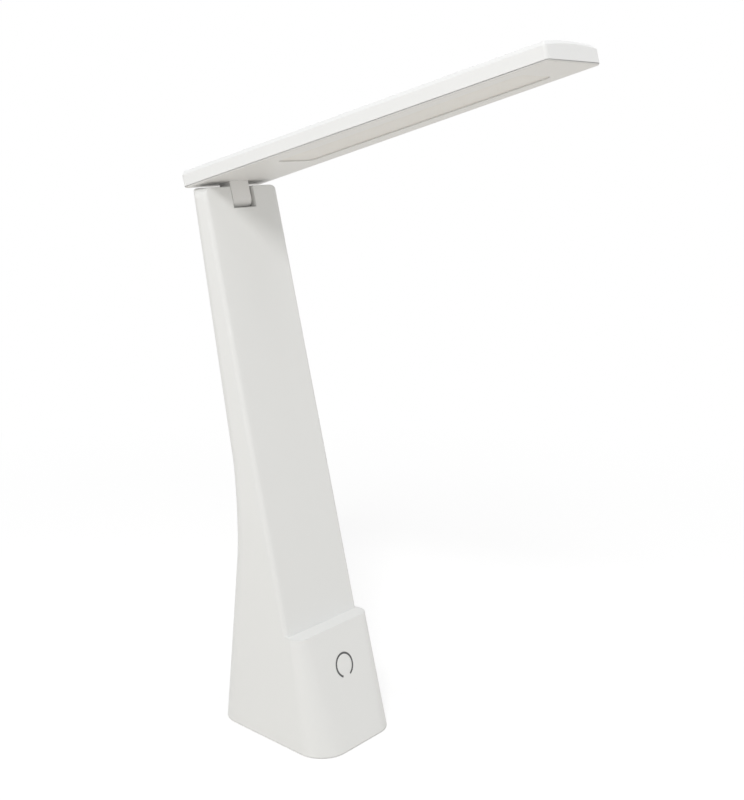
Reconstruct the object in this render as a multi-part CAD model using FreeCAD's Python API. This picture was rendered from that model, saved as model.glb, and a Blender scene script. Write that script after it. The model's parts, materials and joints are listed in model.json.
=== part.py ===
import FreeCAD, Part
import math
import os

os.makedirs("parts", exist_ok=True)

# Folding desk lamp with a touch switch, in millimetres. +Z is up and the lamp faces -Y.
# The origin is the centre of the pad that the lamp stands on.

# Base block
base_width = 59.2
base_rear_width = 45.2
base_depth = 79.0
base_front_lean = 17.0
base_front_radius = 14.2
base_rear_radius = 14.5
base_wall = 2.2
rim_height = 0.3
ledge_height = 57.2
ledge_depth = 8.3
ledge_width = 56.0
ledge_radius = 6.3
crease_setback = 20.5

# Column
column_height = 270.0
column_foot_width = 53.0
column_top_width = 49.5
column_top_depth = 10.5
column_top_fall = 4.5
column_front_lean = 13.3
column_edge_radius = 2.3
column_corner_radius = 5.0
column_wall = 1.8
bend_height = 115.0
bend_depth = 21.2
bend_reach = 30.0
bend_rear_radius = 8.5
top_rear_radius = 4.4
least_radius = 1.0
bend_station_shares = (-1.0, -0.5, 0.0, 0.5, 1.0)

# Rear cover
cover_width = 33.0
cover_start = 11.0
cover_top_drop = 11.3
cover_radius = 4.0
cover_seam = 0.2
cover_lip = 2.5
cover_lip_thickness = 1.4
cover_bed_gap = 0.1

# Hinge
pin_radius = 1.5
pin_drop = 7.0
pin_setback = 4.6
running_clearance = 0.05
press_clearance = 0.02
ear_width = 12.6
ear_radius = 3.6
notch_width = 15.2
notch_gap = 0.8
stop_gap = 0.6
notch_wall = 2.3
washer_radius = 2.6
washer_clearance = 0.1
clip_width = 6.0
clip_thickness = 1.0
clip_end = 2.4
clip_gap = 0.4
clip_boss_radius = 2.4

# Lamp head
head_length = 203.8
head_rear_width = 51.9
head_tip_width = 40.7
head_side_height = 7.0
head_crown_radius = 170.0
head_bevel = 1.6
head_rear_radius = 1.8
head_tip_radius = 1.8
head_wall = 1.6
head_tilt = 15.0
head_pin_from_rear = 8.2
head_pin_below = 9.4
frame_thickness = 1.8
frame_lip = 0.7
frame_bevel = 0.4
frame_inset = 0.1
frame_seam = 0.2
window_rear = 49.6
window_tip_rim = 17.8
window_width = 24.4
window_radius = 3.5
tab_length = 8.0
tab_thickness = 1.2
tab_height = 2.4
tab_place_shares = (0.12, 0.38, 0.62, 0.88)
diffuser_flange = 0.9
diffuser_overlap = 2.0
diffuser_recess = 0.5
diffuser_seam = 0.1
led_board_thickness = 1.0
led_board_gap = 1.9
led_board_margin = 1.2
led_length = 3.5
led_width = 2.8
led_height = 0.7
led_rows = 2
led_count = 16
led_row_spacing = 12.0
led_end_margin = 6.0
led_post_radius = 2.2
led_post_shares = (0.08, 0.5, 0.92)

# Touch switch
ring_height = 38.4
ring_radius = 5.8
ring_stroke = 1.0
ring_depth = 0.4
ring_gap_angle = 52.0
electrode_radius = 8.0
electrode_thickness = 0.4

# Base plate, pad and ballast
plate_thickness = 3.6
plate_clearance = 0.15
pad_thickness = 1.6
pad_margin = 1.0
pad_clearance = 0.1
boss_radius = 3.4
boss_height = 16.0
boss_inset = 4.3
boss_rib = 2.0
boss_front_setback = 22.0
boss_rear_setback = 26.0
ballast_thickness = 6.0
ballast_front_setback = 11.0
ballast_clearance = 1.0
ballast_radius = 4.0
peg_radius = 2.0
peg_clearance = 0.1
peg_place_shares = (0.12, 0.42)

# Battery, control board and charging socket
cell_radius = 9.2
cell_length = 50.0
cell_button_radius = 3.2
cell_button_height = 0.8
cell_front_gap = 1.5
cradle_wall = 1.4
cradle_floor = 1.5
cradle_height = 22.0
cradle_clearance = 0.15
cradle_slot = 8.0
board_width = 24.0
board_depth = 10.0
board_thickness = 1.6
board_height = 13.0
board_rear_gap = 4.0
post_radius = 2.5
post_spacing = 16.0
post_edge = 4.0
socket_width = 8.9
socket_height = 3.3
socket_length = 7.4
socket_skin = 0.35
socket_recess = 0.3
socket_clearance = 0.2
socket_tongue_width = 6.6
socket_tongue_thickness = 0.7
socket_tongue_back = 1.5
socket_round_share = 0.95

# Lead from the board up to the hinge
lead_radius = 1.1
lead_offset = 4.0
lead_edge = 2.5
lead_board_gap = 0.3
lead_top_gap = 6.0
lead_bend_share = 0.45

# Screws: shank radius, length under the head, head radius and head height
base_screw = (1.5, 10.0, 2.7, 1.4)
small_screw = (0.9, 4.0, 1.7, 1.0)
led_screw = (0.7, 2.2, 1.4, 0.6)
screw_clearance = 0.08

# One overrun serves every cut
overrun = 2.0

up = FreeCAD.Vector(0, 0, 1)
across = FreeCAD.Vector(1, 0, 0)
deep = FreeCAD.Vector(0, 1, 0)
origin = FreeCAD.Vector(0, 0, 0)


def at(x, y, z):
    return FreeCAD.Vector(x, y, z)


def blend(low, high, share):
    return low + (high - low) * share


def run(height, lean):
    return height * math.tan(math.radians(lean))


# Side profile of the housing

def base_front(z):
    return run(z, base_front_lean) - base_depth / 2


def column_front(z):
    return base_front(ledge_height) + ledge_depth + run(z - ledge_height, column_front_lean)


rear_floor = at(0, base_depth / 2, 0)
rear_bend = at(0, column_front(bend_height) + bend_depth, bend_height)
rear_top = at(0, column_front(column_height) + column_top_depth, column_height)
rear_below = (rear_floor - rear_bend).normalize()
rear_above = (rear_top - rear_bend).normalize()
bend_axis = (rear_below + rear_above).normalize()
bend_half_angle = bend_axis.getAngle(rear_above)
bend_radius = bend_reach * math.tan(bend_half_angle)
bend_centre = rear_bend + bend_axis * (bend_reach / math.cos(bend_half_angle))


def rear_face(z):
    """Back of the housing: a line from the floor, an arc at the bend and a line to the top."""
    if z <= rear_bend.z + rear_below.z * bend_reach:
        return rear_bend.y + (z - rear_bend.z) * rear_below.y / rear_below.z
    if z >= rear_bend.z + rear_above.z * bend_reach:
        return rear_bend.y + (z - rear_bend.z) * rear_above.y / rear_above.z
    return bend_centre.y - math.sqrt(bend_radius ** 2 - (z - bend_centre.z) ** 2)


def column_width(z):
    return blend(column_foot_width, column_top_width, (z - ledge_height) / (column_height - ledge_height))


def rear_width(z):
    if z > bend_height:
        return column_width(z)
    return blend(base_rear_width, column_width(bend_height), z / bend_height)


def rear_radius(z):
    if z > bend_height:
        return blend(bend_rear_radius, top_rear_radius, (z - bend_height) / (column_height - bend_height))
    return blend(base_rear_radius, bend_rear_radius, z / bend_height)


# Outlines and prisms

def rounded_wire(corners, radii, place):
    """Closed wire round the corners, each one rounded by its radius; place turns (u, v) into a point."""
    rounds = []
    for i, corner in enumerate(corners):
        here = at(*corner, 0)
        before = at(*corners[i - 1], 0)
        after = at(*corners[(i + 1) % len(corners)], 0)
        back = (before - here).normalize()
        ahead = (after - here).normalize()
        if radii[i] == 0:
            rounds.append((here, None, here))
            continue
        half = back.getAngle(ahead) / 2
        reach = radii[i] / math.tan(half)
        centre = here + (back + ahead).normalize() * (radii[i] / math.sin(half))
        middle = centre + (here - centre).normalize() * radii[i]
        rounds.append((here + back * reach, middle, here + ahead * reach))
    edges = []
    for i, (start, middle, stop) in enumerate(rounds):
        if middle is not None:
            arc = Part.Arc(place(start.x, start.y), place(middle.x, middle.y), place(stop.x, stop.y))
            edges.append(arc.toShape())
        following = rounds[(i + 1) % len(rounds)][0]
        edges.append(Part.makeLine(place(stop.x, stop.y), place(following.x, following.y)))
    return Part.Wire(edges)


def level(z):
    return lambda u, v: at(u, v, z)


def inner_radius(radius, inset):
    """Radius of a corner after an inset; a corner with too little left is sharp."""
    return radius - inset if radius - inset >= least_radius else 0


def prism(wire, sweep):
    return Part.Face(wire).extrude(sweep)


def block(low, high):
    """Box between two corners."""
    size = high - low
    return Part.makeBox(size.x, size.y, size.z, low)


def rod(radius, start, stop):
    return Part.makeCylinder(radius, (stop - start).Length, start, stop - start)


def screw(sizes, seat, direction):
    """Pan-head screw whose head rests on seat, with its shank pointing along direction."""
    shank_radius, length, head_radius, head_height = sizes
    shank = rod(shank_radius, seat, seat + direction * length)
    head = rod(head_radius, seat - direction * head_height, seat)
    rim = [edge for edge in head.Edges if edge.Closed and (edge.CenterOfMass - seat).Length > head_height / 2]
    return head.makeChamfer(head_height / 2, rim).fuse(shank)


# Housing

def base_section(z, inset):
    """Plan outline of the base block, with a crease in each side that fades towards the floor."""
    share = z / ledge_height
    floor_crease = blend(base_width, base_rear_width, crease_setback / base_depth)
    front_half = blend(base_width, ledge_width, share) / 2 - inset
    crease_half = blend(floor_crease, column_foot_width, share) / 2 - inset
    rear_half = rear_width(z) / 2 - inset
    front = base_front(z) + inset
    crease = blend(base_front(0) + crease_setback, column_front(ledge_height), share)
    rear = rear_face(z) - inset
    front_round = inner_radius(blend(base_front_radius, ledge_radius, share), inset)
    rear_round = inner_radius(rear_radius(z), inset)
    corners = [(-front_half, front), (front_half, front), (crease_half, crease),
               (rear_half, rear), (-rear_half, rear), (-crease_half, crease)]
    return rounded_wire(corners, [front_round, front_round, 0, rear_round, rear_round, 0], level(z))


def column_section(z, inset):
    front_half = column_width(z) / 2 - inset
    rear_half = rear_width(z) / 2 - inset
    front = column_front(z) + inset
    rear = rear_face(z) - inset
    front_round = inner_radius(column_edge_radius, inset)
    rear_round = inner_radius(rear_radius(z), inset)
    corners = [(-front_half, front), (front_half, front), (rear_half, rear), (-rear_half, rear)]
    return rounded_wire(corners, [front_round, front_round, rear_round, rear_round], level(z))


def base_body(floor, top, inset):
    return Part.makeLoft([base_section(floor, inset), base_section(top, inset)], True, True)


def column_body(foot, top, inset):
    """Straight runs below and above the bend, and a smooth loft through the bend itself."""
    bend = [bend_height + share * bend_reach for share in bend_station_shares]
    runs = [([foot, bend[0]], True), (bend, False), ([bend[-1], top], True)]
    lofts = []
    for heights, ruled in runs:
        lofts.append(Part.makeLoft([column_section(z, inset) for z in heights], True, ruled))
    return lofts[0].fuse(lofts[1:]).removeSplitter()


def top_cuts(inset):
    """Waste above the column's top, which falls a little to the rear, and at its two rounded corners."""
    half = column_width(column_height) / 2 - inset
    radius = max(column_corner_radius - inset, least_radius)
    reach = base_depth
    length = deep * (reach + overrun)
    cuts = [block(at(-reach, -reach, -inset), at(reach, reach, reach))]
    for side in (-1, 1):
        centre = at(side * (half - radius), 0, -inset - radius)
        far = centre + at(side * (radius + overrun), 0, radius + overrun)
        corner = block(at(min(centre.x, far.x), -reach, centre.z), at(max(centre.x, far.x), reach, far.z))
        cuts.append(corner.cut(rod(radius, centre - length, centre + length)))
    for cut in cuts:
        cut.rotate(origin, across, -column_top_fall)
        cut.translate(at(0, column_front(column_height), column_height))
    return cuts


def rounded_column(foot, top, inset):
    return column_body(foot, top, inset).cut(top_cuts(inset))


pin_height = column_height - pin_drop
pin_depth = pin_setback / math.cos(math.radians(column_front_lean))
pin_place = at(0, column_front(pin_height) + pin_depth, pin_height)
plate_top = rim_height + plate_thickness
front_normal = at(0, -math.cos(math.radians(base_front_lean)), math.sin(math.radians(base_front_lean)))


def leaning(shape):
    """Carry a shape from the hinge's own frame, whose Z runs up the column front, to the lamp."""
    moved = shape.copy()
    moved.rotate(origin, across, -column_front_lean)
    moved.translate(pin_place)
    return moved


def notch_block(half_width, wall):
    """Space round the hinge ear; its back leans with the raised ear, which stops just short of it."""
    reach = column_top_depth * 2
    space = block(at(-half_width, -reach, -ear_radius - notch_gap - wall),
                  at(half_width, ear_radius + stop_gap, reach))
    space.rotate(origin, across, -head_tilt)
    space.translate(pin_place)
    return space


def boss_places():
    places = []
    for y in (boss_front_setback - base_depth / 2, base_depth / 2 - boss_rear_setback):
        share = (y + base_depth / 2) / base_depth
        x = blend(base_width, base_rear_width, share) / 2 - base_wall - boss_inset
        places += [at(-x, y, plate_top), at(x, y, plate_top)]
    return places


def boss_ribs():
    """Webs that tie the screw bosses to the side walls."""
    ribs = []
    for place in boss_places():
        wall = math.copysign(base_width / 2, place.x)
        low = at(min(place.x, wall), place.y - boss_rib / 2, place.z)
        high = at(max(place.x, wall), place.y + boss_rib / 2, place.z + boss_height)
        ribs.append(block(low, high))
    return ribs


def clip_bosses(radius, reach):
    """Rods that carry the friction clips, from the column's front wall back to the clip tails."""
    bosses = []
    for side in (-1, 1):
        x = side * clip_middle
        start = at(x, -pin_setback + reach, -clip_screw_drop)
        bosses.append(leaning(rod(radius, start, at(x, pin_radius + running_clearance, -clip_screw_drop))))
    return bosses


clip_middle = notch_width / 2 + notch_wall + clip_gap + clip_width / 2
clip_screw_drop = cover_top_drop + cover_lip + small_screw[2] + clip_gap
clip_tail = clip_screw_drop + clip_end


def cover_prism(offset):
    """Outline of the rear cover, drawn halfway into the column's top depth and swept out of the back."""
    slope = math.radians(column_front_lean)
    half = cover_width / 2 + offset
    low = cover_start - offset
    high = (pin_height - ledge_height) / math.cos(slope) - cover_top_drop + offset
    corners = [(-half, low), (half, low), (half, high), (-half, high)]
    radius = max(cover_radius + offset, least_radius)
    start = at(0, column_front(ledge_height) + column_top_depth / 2, ledge_height)
    wire = rounded_wire(corners, [radius] * len(corners),
                        lambda u, v: start + at(u, v * math.sin(slope), v * math.cos(slope)))
    return prism(wire, deep * base_depth)


def cover_lip_ring():
    """Seat for the rear cover: a strip inside the wall, all round the window."""
    ring = cover_prism(cover_lip).cut(cover_prism(-cover_lip))
    skin = column_body(ledge_height, column_height - column_wall, column_wall)
    skin = skin.cut(column_body(ledge_height, column_height, column_wall + cover_lip_thickness))
    return skin.common(ring)


def socket_outline(grow, y, z):
    half = socket_width / 2 + grow
    rise = socket_height / 2 + grow
    corners = [(-half, -rise), (half, -rise), (half, rise), (-half, rise)]
    radius = rise * socket_round_share
    return rounded_wire(corners, [radius] * len(corners), lambda u, v: at(u, y, z + v))


socket_middle = board_height + board_thickness + socket_height / 2
socket_mouth = rear_face(socket_middle) - socket_recess


def ring_sector(depth, grow):
    """Open ring sunk into the base front, its gap pointing down."""
    centre = at(0, base_front(ring_height), ring_height)
    turn = 360.0 - ring_gap_angle
    outer = Part.makeCylinder(ring_radius + ring_stroke / 2, depth + grow, origin, up, turn)
    inner = Part.makeCylinder(ring_radius - ring_stroke / 2, depth + grow, origin, up, turn)
    sector = outer.cut(inner)
    sector.rotate(origin, up, ring_gap_angle / 2 - 90.0)
    sector.rotate(origin, across, 90.0 - base_front_lean)
    sector.translate(centre - front_normal * depth)
    return sector


def column_housing():
    outer = base_body(rim_height, ledge_height, 0).fuse(rounded_column(ledge_height, column_height, 0))
    outer = outer.removeSplitter()
    hollow_base = base_body(rim_height - overrun, ledge_height - base_wall, base_wall)
    hollow_foot = ledge_height - base_wall - overrun
    hollow_column = rounded_column(hollow_foot, column_height - column_wall, column_wall)
    shell = outer.cut([hollow_base, hollow_column])
    half = notch_width / 2
    fittings = [notch_block(half + notch_wall, notch_wall)]
    fittings += [rod(boss_radius, place, place + up * boss_height) for place in boss_places()]
    fittings += boss_ribs()
    fittings += clip_bosses(clip_boss_radius, column_wall / 2)
    shell = shell.fuse([outer.common(fitting) for fitting in fittings])
    shell = shell.fuse(cover_lip_ring())
    cuts = [notch_block(half, 0)]
    bed = column_body(ledge_height, column_height, column_wall + cover_bed_gap)
    cuts.append(cover_prism(0).cut(bed))
    pin_reach = across * pin_half
    cuts.append(rod(pin_radius + running_clearance, pin_place - pin_reach, pin_place + pin_reach))
    pilot = base_screw[0] + screw_clearance
    cuts += [rod(pilot, place - up * overrun, place + up * base_screw[1]) for place in boss_places()]
    cuts += clip_bosses(small_screw[0] + screw_clearance, column_wall)
    cuts.append(prism(socket_outline(socket_clearance, socket_mouth - base_wall - overrun, socket_middle),
                      deep * (base_wall + overrun * 2)))
    cuts.append(ring_sector(ring_depth, overrun))
    return shell.cut(cuts).removeSplitter()


pin_half = clip_middle + clip_width / 2 + clip_gap


def rear_cover():
    skin = column_body(ledge_height, column_height, 0)
    skin = skin.cut(column_body(ledge_height - overrun, column_height + overrun, column_wall))
    return skin.common(cover_prism(-cover_seam))


# Base plate, pad, ballast and screws

board_front = rear_face(board_height) - board_rear_gap - board_depth
ballast_front = ballast_front_setback - base_depth / 2
ballast_rear = board_front - ballast_clearance


def peg_places():
    return [at(0, blend(ballast_front, ballast_rear, share), plate_top) for share in peg_place_shares]


def post_places():
    return [at(side * post_spacing / 2, board_front + post_edge, plate_top) for side in (-1, 1)]


def base_plate():
    inset = base_wall + plate_clearance
    plate = base_body(rim_height, plate_top, inset)
    pegs = [rod(peg_radius, place, place + up * ballast_thickness) for place in peg_places()]
    posts = [rod(post_radius, place, place + up * (board_height - plate_top)) for place in post_places()]
    plate = plate.fuse(pegs + posts)
    pocket = prism(base_section(rim_height, inset + pad_margin), up * (pad_thickness - rim_height))
    pilots = [rod(small_screw[0] + screw_clearance, place + up * (board_height - plate_top - small_screw[1]),
                  place + up * board_height) for place in post_places()]
    holes = []
    for place in boss_places():
        seat = screw_seat(place)
        holes.append(rod(base_screw[0] + screw_clearance, seat, place + up * overrun))
        holes.append(rod(base_screw[2] + screw_clearance, at(place.x, place.y, 0), seat))
    return plate.cut([pocket] + pilots + holes)


def screw_seat(place):
    return at(place.x, place.y, pad_thickness + pad_clearance + base_screw[3])


def base_screws():
    return Part.makeCompound([screw(base_screw, screw_seat(place), up) for place in boss_places()])


def anti_slip_pad():
    wire = base_section(rim_height, base_wall + plate_clearance + pad_margin + pad_clearance)
    pad = prism(wire, up * pad_thickness)
    pad.translate(-up * rim_height)
    return pad


def ballast_weight():
    half = boss_places()[-1].x - boss_radius - ballast_clearance
    corners = [(-half, ballast_front), (half, ballast_front), (half, ballast_rear), (-half, ballast_rear)]
    wire = rounded_wire(corners, [ballast_radius] * len(corners), level(plate_top))
    slab = prism(wire, up * ballast_thickness)
    holes = [rod(peg_radius + peg_clearance, place - up * overrun, place + up * (ballast_thickness + overrun))
             for place in peg_places()]
    return slab.cut(holes)


# Battery, control board and socket

cell_top = plate_top + ballast_thickness + cradle_floor + cell_length + cell_button_height
cell_middle = column_front(cell_top) + column_wall + cell_front_gap + cell_radius
cell_place = at(0, cell_middle, plate_top + ballast_thickness)


def battery_cradle():
    bore = cell_radius + cradle_clearance
    cup = rod(bore + cradle_wall, cell_place, cell_place + up * cradle_height)
    seat = cell_place + up * cradle_floor
    reach = bore + cradle_wall + overrun
    slot = block(at(-cradle_slot / 2, cell_place.y - reach, seat.z),
                 at(cradle_slot / 2, cell_place.y + reach, seat.z + cradle_height))
    return cup.cut([rod(bore, seat, seat + up * cradle_height), slot])


def battery_cell():
    foot = cell_place + up * cradle_floor
    can = rod(cell_radius, foot, foot + up * cell_length)
    can = can.makeChamfer(cell_button_height, [edge for edge in can.Edges if edge.Closed])
    top = foot + up * cell_length
    return can.fuse(rod(cell_button_radius, top, top + up * cell_button_height))


def control_board():
    board = block(at(-board_width / 2, board_front, board_height),
                  at(board_width / 2, board_front + board_depth, board_height + board_thickness))
    hole = small_screw[0] + screw_clearance
    return board.cut([rod(hole, place, place + up * board_height) for place in post_places()])


def board_screws():
    top = board_height + board_thickness
    return Part.makeCompound([screw(small_screw, at(place.x, place.y, top), -up) for place in post_places()])


def charging_socket():
    back = socket_mouth - socket_length
    skin = prism(socket_outline(0, back, socket_middle), deep * socket_length)
    hollow = prism(socket_outline(-socket_skin, back + socket_skin, socket_middle), deep * socket_length)
    half = socket_tongue_width / 2
    thick = socket_tongue_thickness / 2
    tongue = block(at(-half, back, socket_middle - thick),
                   at(half, socket_mouth - socket_tongue_back, socket_middle + thick))
    return skin.cut(hollow).fuse(tongue).removeSplitter()


def touch_electrode():
    centre = at(0, base_front(ring_height) + base_wall, ring_height)
    return rod(electrode_radius, centre, centre - front_normal * electrode_thickness)


def lead_points():
    """From the board to the middle of the column at its bend, then up the middle to the hinge."""
    top = pin_height - ear_radius - notch_gap - notch_wall - lead_top_gap
    points = [at(lead_offset, board_front + lead_edge, board_height + board_thickness + lead_board_gap)]
    for z in (bend_height, top):
        points.append(at(lead_offset, (column_front(z) + rear_face(z)) / 2, z))
    return points


def column_lead():
    """Lead along straight runs joined by arcs as large as the runs allow."""
    points = lead_points()
    edges = []
    last = points[0]
    for before, here, after in zip(points, points[1:], points[2:]):
        back = (before - here).normalize()
        ahead = (after - here).normalize()
        half = back.getAngle(ahead) / 2
        reach = lead_bend_share * min((before - here).Length, (after - here).Length)
        start = here + back * reach
        stop = here + ahead * reach
        radius = reach * math.tan(half)
        centre = here + (back + ahead).normalize() * (radius / math.sin(half))
        middle = centre + (here - centre).normalize() * radius
        edges.append(Part.makeLine(last, start))
        edges.append(Part.Arc(start, middle, stop).toShape())
        last = stop
    edges.append(Part.makeLine(last, points[-1]))
    path = Part.Wire(edges)
    section = Part.Wire(Part.makeCircle(lead_radius, points[0], points[1] - points[0]))
    return path.makePipeShell([section], True, False)


# Friction hinge

def hinge_pin():
    return rod(pin_radius, pin_place - across * pin_half, pin_place + across * pin_half)


def hinge_washers():
    washers = []
    for side in (-1, 1):
        start = pin_place + across * (side * (ear_width / 2 + washer_clearance))
        stop = pin_place + across * (side * (notch_width / 2 - washer_clearance))
        washers.append(rod(washer_radius, start, stop).cut(rod(pin_radius + running_clearance, start, stop)))
    return Part.makeCompound(washers)


def friction_clips():
    """Spring-steel bands curled round the pin, each with a flat tail screwed to a boss in the column."""
    bore = pin_radius + running_clearance
    clips = []
    for side in (-1, 1):
        low = side * clip_middle - clip_width / 2
        high = low + clip_width
        curl = rod(bore + clip_thickness, at(low, 0, 0), at(high, 0, 0))
        tail = block(at(low, bore, -clip_tail), at(high, bore + clip_thickness, 0))
        hole = rod(small_screw[0] + screw_clearance, at(side * clip_middle, 0, -clip_screw_drop),
                   at(side * clip_middle, column_top_depth, -clip_screw_drop))
        clip = curl.fuse(tail).cut([rod(bore, at(low, 0, 0), at(high, 0, 0)), hole])
        clips.append(leaning(clip.removeSplitter()))
    return Part.makeCompound(clips)


def clip_screws():
    seat = pin_radius + running_clearance + clip_thickness
    places = [at(side * clip_middle, seat, -clip_screw_drop) for side in (-1, 1)]
    return Part.makeCompound([leaning(screw(small_screw, place, -deep)) for place in places])


# Lamp head, modelled flat with the shell's lower rim at zero, its rear edge at zero and its tip towards -Y

def hung(shape):
    """Tilt the flat head up and hang it on the hinge pin."""
    moved = shape.copy()
    moved.translate(at(0, head_pin_from_rear, head_pin_below))
    moved.rotate(origin, across, -head_tilt)
    moved.translate(pin_place)
    return moved


def head_half(y):
    return blend(head_rear_width, head_tip_width, -y / head_length) / 2


def crown_fall(y):
    """How far the crowned top falls from the middle of the head to its side."""
    return head_crown_radius - math.sqrt(head_crown_radius ** 2 - head_half(y) ** 2)


def crown_roll(drop):
    """Large roll whose top is the crowned upper face; it dips to the tip to keep the side height."""
    middle = head_side_height - head_crown_radius - drop
    start = at(0, 0, middle + crown_fall(0))
    stop = at(0, -head_length, middle + crown_fall(-head_length))
    beyond = (stop - start).normalize() * overrun
    return rod(head_crown_radius, start - beyond, stop + beyond)


def head_plan(inset):
    """Plan outline of the head, at the underside."""
    rear = head_half(0) - inset
    tip = head_half(-head_length) - inset
    corners = [(-rear, -inset), (-tip, inset - head_length), (tip, inset - head_length), (rear, -inset)]
    rear_round = max(head_rear_radius - inset, least_radius)
    tip_round = max(head_tip_radius - inset, least_radius)
    return rounded_wire(corners, [rear_round, tip_round, tip_round, rear_round], level(0))


def head_solid(inset):
    plan = prism(head_plan(inset), up * (head_side_height * 2))
    plan.translate(-up * inset)
    return crown_roll(inset).common(plan)


def window_wire(grow, z):
    half = window_width / 2 + grow
    start = grow - window_rear
    stop = window_tip_rim - head_length - grow
    corners = [(-half, start), (-half, stop), (half, stop), (half, start)]
    return rounded_wire(corners, [max(window_radius + grow, least_radius)] * len(corners), level(z))


frame_top = frame_thickness - frame_lip
led_board_bottom = frame_top + diffuser_flange + led_board_gap
window_length = head_length - window_rear - window_tip_rim


def led_posts():
    return [at(0, -window_rear - window_length * share, led_board_bottom) for share in led_post_shares]


def head_top_shell():
    outer = head_solid(0)
    rim = [edge for edge in outer.Edges if edge.BoundBox.ZMin > head_side_height / 2]
    outer = outer.makeChamfer(head_bevel, rim)
    shell = outer.cut(head_solid(head_wall))
    seat = led_board_bottom + led_board_thickness
    posts = []
    for place in led_posts():
        ceiling = head_side_height + crown_fall(place.y) - head_wall / 2
        posts.append(rod(led_post_radius, at(place.x, place.y, seat), at(place.x, place.y, ceiling)))
    pilots = [rod(led_screw[0] + screw_clearance, place, place + up * led_screw[1]) for place in led_posts()]
    return hung(shell.fuse(posts).cut(pilots).removeSplitter())


def head_tabs():
    """Snap tabs along both long edges of the underside panel."""
    tabs = []
    for share in tab_place_shares:
        y = -head_length * share
        for side in (-1, 1):
            outside = head_half(y - tab_length / 2) - head_wall - frame_seam
            inside = outside - tab_thickness
            low = at(min(side * inside, side * outside), y - tab_length / 2, frame_top / 2)
            tabs.append(block(low, low + at(tab_thickness, tab_length, tab_height + frame_top / 2)))
    return tabs


def hinge_ear():
    """Tongue under the head, rounded about the hinge pin."""
    half = ear_width / 2
    pin = at(0, -head_pin_from_rear, -head_pin_below)
    tongue = block(at(-half, pin.y - ear_radius, pin.z), at(half, pin.y + ear_radius, frame_top / 2))
    return tongue.fuse(rod(ear_radius, pin - across * half, pin + across * half))


def frame_panel():
    """Underside panel: a bevelled plate below the shell's rim and a plug that fits inside the rim."""
    plate = prism(head_plan(frame_inset), up * (frame_lip - frame_seam))
    plate = plate.makeChamfer(frame_bevel, [edge for edge in plate.Edges if edge.BoundBox.ZLength == 0
                                            and edge.BoundBox.ZMax < frame_bevel])
    plate.translate(-up * frame_lip)
    plug = prism(head_plan(head_wall + frame_seam), up * (frame_top + frame_lip / 2))
    plug.translate(-up * (frame_lip / 2))
    return plate.fuse(plug)


def head_lower_frame():
    window = prism(window_wire(0, -frame_lip - overrun), up * (frame_thickness + overrun * 2))
    panel = frame_panel().cut(window).fuse(head_tabs() + [hinge_ear()])
    pin = at(0, -head_pin_from_rear, -head_pin_below)
    bore = rod(pin_radius + press_clearance, pin - across * ear_width, pin + across * ear_width)
    return hung(panel.cut(bore).removeSplitter())


def diffuser():
    """Milky sheet whose middle drops through the window, close to the face of the panel."""
    face = diffuser_recess - frame_lip
    flange = prism(window_wire(diffuser_overlap, frame_top), up * diffuser_flange)
    return hung(prism(window_wire(-diffuser_seam, face), up * (frame_top - face)).fuse(flange))


def led_board():
    board = prism(window_wire(-led_board_margin, led_board_bottom), up * led_board_thickness)
    holes = [rod(led_screw[0] + screw_clearance, place - up * overrun, place + up * overrun)
             for place in led_posts()]
    return hung(board.cut(holes))


def led_chips():
    chips = []
    first = led_end_margin - window_rear - window_length
    pitch = (window_length - led_end_margin * 2 - led_length) / (led_count - 1)
    for row in range(led_rows):
        x = (row - (led_rows - 1) / 2) * led_row_spacing
        for i in range(led_count):
            low = at(x - led_width / 2, first + i * pitch, led_board_bottom - led_height)
            chips.append(hung(block(low, low + at(led_width, led_length, led_height))))
    return Part.makeCompound(chips)


def led_board_screws():
    return Part.makeCompound([hung(screw(led_screw, place, up)) for place in led_posts()])


nodes = {
    "column_housing": column_housing,
    "rear_cover": rear_cover,
    "base_plate": base_plate,
    "base_screws": base_screws,
    "anti_slip_pad": anti_slip_pad,
    "ballast_weight": ballast_weight,
    "battery_cradle": battery_cradle,
    "battery_cell": battery_cell,
    "control_board": control_board,
    "board_screws": board_screws,
    "charging_socket": charging_socket,
    "touch_electrode": touch_electrode,
    "touch_ring": lambda: ring_sector(ring_depth, 0),
    "column_lead": column_lead,
    "hinge_pin": hinge_pin,
    "hinge_washers": hinge_washers,
    "friction_clips": friction_clips,
    "clip_screws": clip_screws,
    "head_top_shell": head_top_shell,
    "head_lower_frame": head_lower_frame,
    "diffuser": diffuser,
    "led_board": led_board,
    "led_chips": led_chips,
    "led_board_screws": led_board_screws,
}

for name, make in nodes.items():
    shape = make()
    shape.exportStep("parts/" + name + ".step")
    print(name, "solids", len(shape.Solids), "volume", round(shape.Volume, 1), "valid", shape.isValid())
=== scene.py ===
# %% [markdown]
# # A folding desk lamp
# The lamp has two rigid bodies: the base with its leaning column, and the long flat head that folds
# on a friction hinge. Its shapes come ready-made from the construction model, so this lesson is about
# finishes, light and the camera. Modelling the shells again as meshes would only copy what is there
# already. Loading the frame first means that every later step can measure it.

# %% Load the frame
import json
import math

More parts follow.
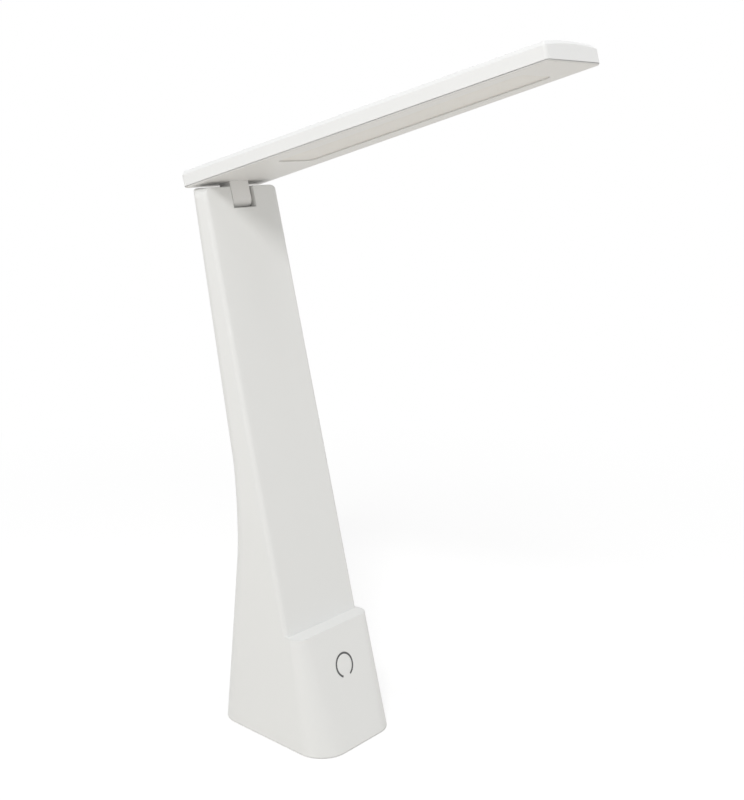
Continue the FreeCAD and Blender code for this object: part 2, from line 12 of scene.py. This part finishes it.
import bpy
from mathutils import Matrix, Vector


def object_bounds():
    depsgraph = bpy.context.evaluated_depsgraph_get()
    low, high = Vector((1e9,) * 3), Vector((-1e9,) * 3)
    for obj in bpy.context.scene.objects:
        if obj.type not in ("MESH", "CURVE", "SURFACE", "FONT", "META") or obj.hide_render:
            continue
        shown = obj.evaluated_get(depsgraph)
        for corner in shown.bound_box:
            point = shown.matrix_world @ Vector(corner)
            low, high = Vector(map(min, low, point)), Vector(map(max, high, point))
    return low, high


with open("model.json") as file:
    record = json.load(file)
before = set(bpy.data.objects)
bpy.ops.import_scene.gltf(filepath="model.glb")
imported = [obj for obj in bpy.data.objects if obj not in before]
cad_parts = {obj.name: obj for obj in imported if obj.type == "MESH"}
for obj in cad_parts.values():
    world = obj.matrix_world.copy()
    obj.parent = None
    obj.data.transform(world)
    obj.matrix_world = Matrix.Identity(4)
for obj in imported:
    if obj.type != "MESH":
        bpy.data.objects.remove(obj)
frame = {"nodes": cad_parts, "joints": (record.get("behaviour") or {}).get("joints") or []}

cad_low, cad_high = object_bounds()
pieces = frame["nodes"]

# %% [markdown]
# ## Shader maths as plain expressions
# A finish is a small network of nodes. Wiring Math nodes one by one is hard to read, so a tiny class
# wraps a socket: adding, subtracting or multiplying two of them adds the Math node by itself. The
# reflected forms, for a number that comes first, make `1 - mask` work too.

# %% A socket with operators
class Signal:
    """One output socket, with the maker that adds more nodes to the same tree."""

    def __init__(self, maker, socket):
        self.maker = maker
        self.socket = socket

    def maths(self, operation, first, second):
        return self.maker.node("ShaderNodeMath", {"operation": operation}, {0: first, 1: second})

    def __add__(self, other):
        return self.maths("ADD", self, other)

    def __radd__(self, other):
        return self.maths("ADD", other, self)

    def __sub__(self, other):
        return self.maths("SUBTRACT", self, other)

    def __rsub__(self, other):
        return self.maths("SUBTRACT", other, self)

    def __mul__(self, other):
        return self.maths("MULTIPLY", self, other)

    def __rmul__(self, other):
        return self.maths("MULTIPLY", other, self)


print("signals add, subtract and multiply")

# %% [markdown]
# ## One method for every other node
# Noise, bump, mixing and light paths are nodes of many kinds. A helper for each kind would repeat the
# same three lines, so one method makes them all. It sets the node's own settings first, because some
# settings change which sockets exist, and then fills the sockets with numbers or links.

# %% A tree that makes nodes
class Nodes:
    """A node tree that grows by calls."""

    def __init__(self, tree):
        self.tree = tree

    def feed(self, socket, value):
        if isinstance(value, Signal):
            self.tree.links.new(value.socket, socket)
        else:
            socket.default_value = value

    def node(self, kind, settings, sockets, out=0):
        """Make one node: its own settings first, then what goes into its sockets."""
        made = self.tree.nodes.new(kind)
        for key, value in settings.items():
            setattr(made, key, value)
        for key, value in sockets.items():
            self.feed(made.inputs[key], value)
        return Signal(self, made.outputs[out])

    def end(self, name, shader):
        """Join a finished shader to the tree's output node of that name."""
        self.feed(self.tree.nodes[name].inputs["Surface"], shader)


print("one method makes every node")

# %% [markdown]
# ## A finish
# Every surface here is one principled shader with a little noise in its tone, its gloss and its relief.
# The patterns could lie in image maps, but those need unwrapped meshes. Patterns worked out from the
# place on the piece need none, and they move with the head when it folds. A number that is the same all
# over goes straight onto the shader's socket.

# %% A material with its usual patterns
class Finish(Nodes):
    """A material built round one shader; constants go straight onto the shader's sockets."""

    # A Mix node repeats its socket names for each kind of data, so its colour sockets go by number.
    mix_factor = 0
    mix_first = 6
    mix_second = 7
    mix_result = 2

    def __init__(self, name, **constants):
        self.material = bpy.data.materials.new(name)
        self.material.use_nodes = True
        super().__init__(self.material.node_tree)
        self.shader = self.tree.nodes["Principled BSDF"]
        self.set(**constants)

    def set(self, **values):
        for socket, value in values.items():
            self.feed(self.shader.inputs[socket.replace("_", " ")], value)

    def place(self, stretch=(1.0, 1.0, 1.0)):
        """Where a point lies on its own piece, in metres times the stretch."""
        spot = self.node("ShaderNodeTexCoord", {}, {}, "Object")
        return self.node("ShaderNodeVectorMath", {"operation": "MULTIPLY"}, {0: spot, 1: stretch})

    def noise(self, scale, detail=2.0, stretch=(1.0, 1.0, 1.0)):
        """A cloudy pattern from 0 to 1; scale times stretch is how many clouds fit in a metre."""
        sockets = {"Vector": self.place(stretch), "Scale": scale, "Detail": detail}
        return self.node("ShaderNodeTexNoise", {}, sockets, "Fac")

    def tint(self, factor, first, second):
        """Colour mixed from first to second by factor."""
        sockets = {self.mix_factor: factor, self.mix_first: first, self.mix_second: second}
        return self.node("ShaderNodeMix", {"data_type": "RGBA"}, sockets, self.mix_result)

    def bump(self, height, depth, strength=0.5, soft_edge=0.0):
        """Relief of that depth in metres; soft_edge is the radius that edges seem to have."""
        sockets = {"Height": height, "Distance": depth, "Strength": strength}
        if soft_edge:
            sockets["Normal"] = self.node("ShaderNodeBevel", {"samples": 6}, {"Radius": soft_edge}, "Normal")
        return self.node("ShaderNodeBump", {}, sockets)


def rgb(red, green, blue):
    return (red, green, blue, 1.0)


print("finishes can be made")

# %% [markdown]
# ## White mouldings
# Nearly everything that shows is injection-moulded plastic. The tool's cavity is spark eroded, which
# leaves a very fine matt grain, and the flow of the melt leaves broad patches that are a hair lighter
# or darker. A flat white would look like paper, so the colour drifts a little over some centimetres,
# longer up the piece than across it, and the grain goes into both the relief and the gloss. Real
# mouldings have no sharp edges either. Rounding each edge in the mesh takes many faces, so the shader
# softens the light on them instead.

# %% The moulded finish
plastic_ior = 1.49
melt_flow = (16.0, 16.0, 5.0)


def moulded(name, light, dark, roughness, grain=2600.0, relief=0.00002, soft_edge=0.0004):
    """A moulding between two tones; roughness is its mean, relief and soft_edge are in metres."""
    speck_gloss = 0.10
    drift_gloss = 0.06
    finish = Finish(name, IOR=plastic_ior)
    drift = finish.noise(scale=1.0, detail=3.0, stretch=melt_flow)
    speck = finish.noise(scale=grain)
    finish.set(
        Base_Color=finish.tint(drift, dark, light),
        Roughness=roughness + (speck - 0.5) * speck_gloss + (drift - 0.5) * drift_gloss,
        Normal=finish.bump(speck, depth=relief, strength=0.6, soft_edge=soft_edge),
    )
    return finish.material


finishes = {
    "column_housing": moulded("housing_white", light=rgb(0.82, 0.825, 0.817), dark=rgb(0.79, 0.794, 0.782),
                              roughness=0.46, soft_edge=0.0009),
    "rear_cover": moulded("cover_white", light=rgb(0.82, 0.825, 0.817), dark=rgb(0.785, 0.789, 0.778),
                          roughness=0.48),
    "head_top_shell": moulded("head_white", light=rgb(0.825, 0.830, 0.828), dark=rgb(0.795, 0.800, 0.796),
                              roughness=0.40),
    "head_lower_frame": moulded("underside_white", light=rgb(0.845, 0.840, 0.830),
                                dark=rgb(0.82, 0.815, 0.803), roughness=0.50),
}
print("white mouldings", sorted(finishes))

# %% [markdown]
# ## Hidden mouldings
# The plate under the base, the cradle of the cell and the hinge's washers are mouldings too, in cheaper
# or tougher plastics. They could share the white, but then an opened lamp would look cast in one piece.
# The same function makes them, with other tones and a coarser or finer grain.

# %% Plate, cradle and washers
finishes["base_plate"] = moulded("plate_grey", light=rgb(0.30, 0.30, 0.30), dark=rgb(0.26, 0.26, 0.26),
                                 roughness=0.55, grain=1500.0, relief=0.00004)
finishes["battery_cradle"] = moulded("cradle_black", light=rgb(0.030, 0.030, 0.032),
                                     dark=rgb(0.020, 0.020, 0.021), roughness=0.52, grain=1800.0)
finishes["hinge_washers"] = moulded("washer_nylon", light=rgb(0.68, 0.67, 0.63), dark=rgb(0.62, 0.61, 0.57),
                                    roughness=0.42, grain=3000.0)
print("mouldings", len(finishes))

# %% [markdown]
# ## The milky window
# Behind the underside's long window lies a sheet of milky acrylic with a frosted face. It scatters
# light inside. Real scattering in a volume is slow and noisy, so the sheet gets a little subsurface
# scattering, set as a constant on the shader. The frosting is finer and softer than the mouldings' grain.

# %% The diffuser sheet
def gloss(pattern, smoothest, spread):
    """Roughness that rises from smoothest by up to spread as the pattern goes from 0 to 1."""
    return smoothest + spread * pattern


milk = Finish("diffuser_milk", IOR=plastic_ior, Subsurface_Weight=0.25, Subsurface_Scale=0.002,
              Subsurface_Radius=(1.0, 0.9, 0.75))
frost = milk.noise(scale=4200.0, detail=1.0)
cloud = milk.noise(scale=28.0)
milk.set(
    Base_Color=milk.tint(cloud, rgb(0.76, 0.737, 0.694), rgb(0.81, 0.79, 0.752)),
    Roughness=gloss(frost, smoothest=0.30, spread=0.12),
    Normal=milk.bump(frost, depth=0.00001),
)
finishes["diffuser"] = milk.material
print("diffuser", milk.material.name)

# %% [markdown]
# ## The touch ring
# The switch has no moving part: a dark printed ring, open at the bottom, marks where a finger is
# sensed. The ring could be painted onto the housing by a mask, but the frame has it as a thin inlay of
# its own, so it only needs its ink. Print is slightly uneven and a little glossier than the housing.
# One noise drives the tone, the gloss and the relief, as it does on several small pieces further on.

# %% The ring's ink
def speckled(name, speck, first, second, smoothest, spread, depth, strength=0.5, **constants):
    """A finish where one noise sets the tone, the gloss and the relief together."""
    finish = Finish(name, **constants)
    pattern = finish.noise(**speck)
    finish.set(
        Base_Color=finish.tint(pattern, first, second),
        Roughness=gloss(pattern, smoothest, spread),
        Normal=finish.bump(pattern, depth, strength),
    )
    return finish.material


finishes["touch_ring"] = speckled("ring_ink", {"scale": 1900.0, "detail": 3.0},
                                  rgb(0.050, 0.050, 0.052), rgb(0.105, 0.105, 0.11),
                                  smoothest=0.30, spread=0.2, depth=0.00002, IOR=1.5)
print("ring", finishes["touch_ring"].name)

# %% [markdown]
# ## Rubber and soft jackets
# The pad under the base is ribbed rubber that grips the table. Ribs this fine need no mesh, so they are
# a wave across the pad, with dust in its tone. The lead inside the column has a plain soft jacket with a
# faint streak along its length, left by extrusion. Stretching the noise along the lead is enough for it.

# %% Rubber pad and lead
rib_scale = 140.0
dust_height = 0.2
rubber = Finish("pad_rubber", IOR=1.52)
ribs = rubber.node("ShaderNodeTexWave", {"bands_direction": "X"},
                   {"Vector": rubber.place(), "Scale": rib_scale}, "Fac")
dust = rubber.noise(scale=420.0, detail=4.0)
rubber.set(
    Base_Color=rubber.tint(dust, rgb(0.012, 0.012, 0.013), rgb(0.035, 0.035, 0.036)),
    Roughness=gloss(dust, smoothest=0.68, spread=0.2),
    Normal=rubber.bump(ribs + dust * dust_height, depth=0.0002),
)
finishes["anti_slip_pad"] = rubber.material

finishes["column_lead"] = speckled("lead_jacket", {"scale": 900.0, "stretch": (1.0, 1.0, 0.05)},
                                   rgb(0.55, 0.55, 0.54), rgb(0.63, 0.63, 0.62),
                                   smoothest=0.50, spread=0.15, depth=0.00003, IOR=1.5)
print("soft finishes", rubber.material.name, finishes["column_lead"].name)

# %% [markdown]
# ## Metals
# Steel pins, clips and screws carry fine lines from grinding or rolling, which stretch the highlight.
# An anisotropic shader could stretch it as well, but it needs tangents on every mesh. Here the lines are
# a noise drawn out along one axis. The touch electrode is copper foil, which tarnishes in soft clouds.

# %% Steel and copper
def drawn_metal(name, light, dark, smoothest, lines):
    """Bare metal with fine lines; lines says how many of them fit in a metre along each axis."""
    cloud_share = 0.6
    finish = Finish(name, Metallic=1.0)
    line = finish.noise(scale=1.0, detail=3.0, stretch=lines)
    cloud = finish.noise(scale=90.0)
    finish.set(
        Base_Color=finish.tint(cloud * cloud_share + line * (1.0 - cloud_share), dark, light),
        Roughness=gloss(line, smoothest, spread=0.16),
        Normal=finish.bump(line, depth=0.00001, strength=0.4),
    )
    return finish.material


along_x = (60.0, 5200.0, 5200.0)
along_y = (5200.0, 60.0, 5200.0)
along_screw = (2600.0, 2600.0, 60.0)
# Each recipe is a name, the light tone, the dark tone, the smoothest roughness and the way of the lines.
metals = {
    "hinge_pin": ("pin_steel", rgb(0.62, 0.62, 0.63), rgb(0.52, 0.52, 0.53), 0.19, along_x),
    "friction_clips": ("clip_steel", rgb(0.50, 0.50, 0.52), rgb(0.38, 0.38, 0.41), 0.27, along_x),
    "ballast_weight": ("ballast_steel", rgb(0.42, 0.42, 0.43), rgb(0.30, 0.30, 0.31), 0.40, along_y),
    "charging_socket": ("socket_steel", rgb(0.60, 0.60, 0.61), rgb(0.48, 0.48, 0.49), 0.23, along_y),
    "touch_electrode": ("electrode_copper", rgb(0.80, 0.44, 0.27), rgb(0.55, 0.27, 0.16), 0.33, along_x),
}
for name, recipe in metals.items():
    finishes[name] = drawn_metal(*recipe)

screw_steel = drawn_metal("screw_steel", rgb(0.58, 0.58, 0.59), rgb(0.46, 0.46, 0.47), 0.25, along_screw)
for name in ("base_screws", "board_screws", "clip_screws", "led_board_screws"):
    finishes[name] = screw_steel
print("metals", sorted(metals), "and", screw_steel.name)

# %% [markdown]
# ## The wrapped cell
# The cell's steel can is shrink-wrapped in a coloured film. Film is a clear gloss over a tone, so a coat
# on the shader does better than a single gloss. Shrinking leaves faint crinkles, longer up the can.

# %% The cell's film
finishes["battery_cell"] = speckled("cell_wrap", {"scale": 320.0, "detail": 4.0, "stretch": (1.0, 1.0, 0.25)},
                                    rgb(0.020, 0.085, 0.26), rgb(0.028, 0.12, 0.34),
                                    smoothest=0.28, spread=0.15, depth=0.00005, strength=0.4,
                                    IOR=1.5, Coat_Weight=0.3, Coat_Roughness=0.15)
print("cell", finishes["battery_cell"].name)

# %% [markdown]
# ## Boards and light sources
# The control board has a green solder mask with paler tracks under it. Real tracks follow a drawing. As
# they stay hidden in the housing, the edges of a square cell pattern stand for them. The light board has
# a white mask on an aluminium core, and each light source is a small cast of yellow phosphor, which
# scatters light a little.

# %% Boards and phosphor
def masked_board(name, mask, track, cells):
    """A board with tracks under its mask; cells is how many of the pattern's cells fit in a metre."""
    lane_half_width = 0.07
    lane_tone = 0.6
    weave_tone = 0.2
    weave_height = 0.15
    finish = Finish(name, IOR=1.5, Coat_Weight=0.35, Coat_Roughness=0.2)
    seam = finish.node("ShaderNodeTexVoronoi", {"feature": "DISTANCE_TO_EDGE", "distance": "CHEBYCHEV"},
                       {"Vector": finish.place(), "Scale": cells}, "Distance")
    lanes = finish.node("ShaderNodeMath", {"operation": "LESS_THAN"}, {0: seam, 1: lane_half_width})
    weave = finish.noise(scale=2400.0)
    finish.set(
        Base_Color=finish.tint(lanes * lane_tone + weave * weave_tone, mask, track),
        Roughness=gloss(weave, smoothest=0.34, spread=0.15),
        Normal=finish.bump(lanes + weave * weave_height, depth=0.00003),
    )
    return finish.material


finishes["control_board"] = masked_board("board_green", mask=rgb(0.008, 0.10, 0.035),
                                         track=rgb(0.03, 0.20, 0.07), cells=320.0)
finishes["led_board"] = masked_board("board_white", mask=rgb(0.76, 0.76, 0.75),
                                     track=rgb(0.62, 0.60, 0.55), cells=160.0)
finishes["led_chips"] = speckled("led_phosphor", {"scale": 3200.0},
                                 rgb(0.68, 0.46, 0.08), rgb(0.80, 0.60, 0.16),
                                 smoothest=0.25, spread=0.15, depth=0.00002,
                                 IOR=1.45, Subsurface_Weight=0.2, Subsurface_Scale=0.0008)
print("boards and light sources,", len(finishes), "pieces have a finish")

# %% [markdown]
# ## Dressing the frame
# Each piece of the frame keeps its mesh, and only its material slot changes. The slots could be filled
# by hand, but the step stops with an error if a piece has been forgotten, which is better than a grey
# default in the picture.

# %% Assign the finishes
bare = sorted(set(pieces) - set(finishes))
if bare:
    raise ValueError("no finish for " + ", ".join(bare))
for name, piece in pieces.items():
    piece.data.materials.clear()
    piece.data.materials.append(finishes[name])
print("dressed", len(pieces), "pieces with", len({m.name for m in finishes.values()}), "finishes")

# %% [markdown]
# ## The floor
# The lamp stands on plain white. A floor bright enough to look white would need strong lights, which
# would bleach the lamp. So the floor is pale paper that is lit like the lamp and throws soft light up
# under the head, and the next step changes how it looks when it is seen directly.

# %% A plain floor
def plain_floor(half):
    """A square floor at the lamp's feet, reaching half its side each way."""
    mesh = bpy.data.meshes.new("floor")
    corners = [(-half, -half, 0.0), (half, -half, 0.0), (half, half, 0.0), (-half, half, 0.0)]
    mesh.from_pydata(corners, [], [(0, 1, 2, 3)])
    floor = bpy.data.objects.new("floor", mesh)
    bpy.context.scene.collection.objects.link(floor)
    return floor


floor = plain_floor(half=3.0)
print("floor", [round(side, 2) for side in floor.dimensions])

# %% [markdown]
# ## White paper that keeps a shadow
# Where the floor is seen directly, or mirrored in a glossy surface, half of the lit paper gives way to
# white, and the other half keeps the lamp's faint shadow. The white is a little stronger near the lamp,
# to make up for the paper, which is dimmer than white. Further out plain white takes over altogether, so
# that no horizon shows. Only the light that bounces off the paper has its slightly warm tone.

# %% Paper, white and the fading shadow
def seen_directly(nodes):
    """1 for rays from the camera, and for what glossy and clear surfaces show of the surroundings."""
    seen = 0.0
    for ray in ("Is Camera Ray", "Is Glossy Ray", "Is Transmission Ray"):
        path = nodes.node("ShaderNodeLightPath", {}, {}, ray)
        seen = nodes.node("ShaderNodeMath", {"operation": "MAXIMUM"}, {0: path, 1: seen})
    return seen


def plain_white(nodes, kind, strength):
    return nodes.node(kind, {}, {"Color": pure_white, "Strength": strength})


def layered(nodes, factor, under, over):
    return nodes.node("ShaderNodeMixShader", {}, {0: factor, 1: under, 2: over})


pure_white = rgb(1.0, 1.0, 1.0)
paper_tone = rgb(0.76, 0.737, 0.69)
white_share = 0.5
lit_paper = 0.85
near_strength = (1.0 - (1.0 - white_share) * lit_paper) / white_share
shadow_starts_fading = 0.20
shadow_is_gone = 0.70

paper = Finish("floor_paper", Roughness=0.9)
seen = seen_directly(paper)
paper.set(Base_Color=paper.tint(seen, paper_tone, pure_white))
lit = Signal(paper, paper.shader.outputs["BSDF"])
away = paper.node("ShaderNodeVectorMath", {"operation": "LENGTH"}, {0: paper.place()}, "Value")
faded = paper.node("ShaderNodeMapRange", {"interpolation_type": "SMOOTHSTEP"},
                   {"Value": away, "From Min": shadow_starts_fading, "From Max": shadow_is_gone})
near = layered(paper, white_share, lit, plain_white(paper, "ShaderNodeEmission", near_strength))
shown = layered(paper, 1 - faded, plain_white(paper, "ShaderNodeEmission", 1.0), near)
paper.end("Material Output", layered(paper, seen, lit, shown))
floor.data.materials.append(paper.material)
print("white near the lamp has a strength of", round(near_strength, 3))

# %% [markdown]
# ## The surroundings
# A white room would light the lamp far too much if it were as bright as it looks. So the world has two
# strengths: white where it is seen, and a dim even light for everything else, which fills the shadows.

# %% The world
room_light = 0.46
world = bpy.data.worlds.new("studio")
bpy.context.scene.world = world
world.use_nodes = True
sky = Nodes(world.node_tree)
room = plain_white(sky, "ShaderNodeBackground", room_light)
white = plain_white(sky, "ShaderNodeBackground", 1.0)
sky.end("World Output", layered(sky, seen_directly(sky), room, white))
print("room light", room_light)

# %% [markdown]
# ## The key light
# A soft box above and behind the camera, a little to its left, is the key. It draws the head's soft
# shadow slantwise down the top of the column, which tells its direction. A sun would draw a hard edge,
# so the key is a square area light whose size sets how soft the edge is. It stands back from the hinge
# along its own rays.

# %% A soft box and the key
def soft_box(name, stand, aim, size, power):
    """A square area light; places and size in metres, power in watts."""
    data = bpy.data.lights.new(name, "AREA")
    data.shape = "SQUARE"
    data.size = size
    data.energy = power
    box = bpy.data.objects.new(name, data)
    box.location = stand
    box.rotation_euler = (Vector(aim) - Vector(stand)).to_track_quat("-Z", "Y").to_euler()
    bpy.context.scene.collection.objects.link(box)
    return box


hinge = Vector(frame["joints"][0]["pos_m"])
key_rays = Vector((33.0, 23.0, -31.0)).normalized()
key_distance = 1.5
key = soft_box("key_box", stand=hinge - key_rays * key_distance, aim=hinge, size=0.34, power=9.0)
print("key at", [round(c, 2) for c in key.location])

# %% [markdown]
# ## The fill lights
# The key alone would leave the front and the long side too dark. More room light would flatten them, so
# three weak, large boxes stand where they miss the rounded front corner: one lights the front from the
# right, one lights the long side from behind on the left, and one overhead lifts the ledge and, by way
# of the floor, the underside of the head.

# %% Three fills
middle = (cad_low + cad_high) / 2
fills = [
    soft_box("front_fill", stand=(1.1, -1.2, 0.55), aim=middle, size=0.9, power=2.3),
    soft_box("side_fill", stand=(-1.2, 0.85, 0.60), aim=middle, size=0.9, power=3.8),
    soft_box("top_fill", stand=(0.0, -0.25, 1.7), aim=middle, size=1.2, power=5.8),
]
print("fills", {box.name: round(box.data.energy, 1) for box in fills})

# %% [markdown]
# ## The camera
# The photo's outline was matched with a simple perspective camera. It stands a little above the top of
# the column, about fifty degrees round from the lamp's front, and looks slightly down. A tracking
# constraint would aim it too, but the two angles were what the match gave, so they are written as they
# are. The lens goes with a frame whose long side is 36 mm.

# %% Camera at the photo's angle
turn_degrees = 51.0
look_down_degrees = 12.02
camera_stand = (-0.4422, -0.4033, 0.2955)
lens_data = bpy.data.cameras.new("photo_camera")
lens_data.sensor_width = 36.0
lens_data.lens = 56.57
camera = bpy.data.objects.new("photo_camera", lens_data)
camera.location = camera_stand
camera.rotation_euler = (math.radians(90.0 - look_down_degrees), 0.0, math.radians(-turn_degrees))
bpy.context.scene.collection.objects.link(camera)
bpy.context.scene.camera = camera
bpy.context.scene.view_settings.view_transform = "Standard"
print("lens", round(lens_data.lens, 2), "mm")
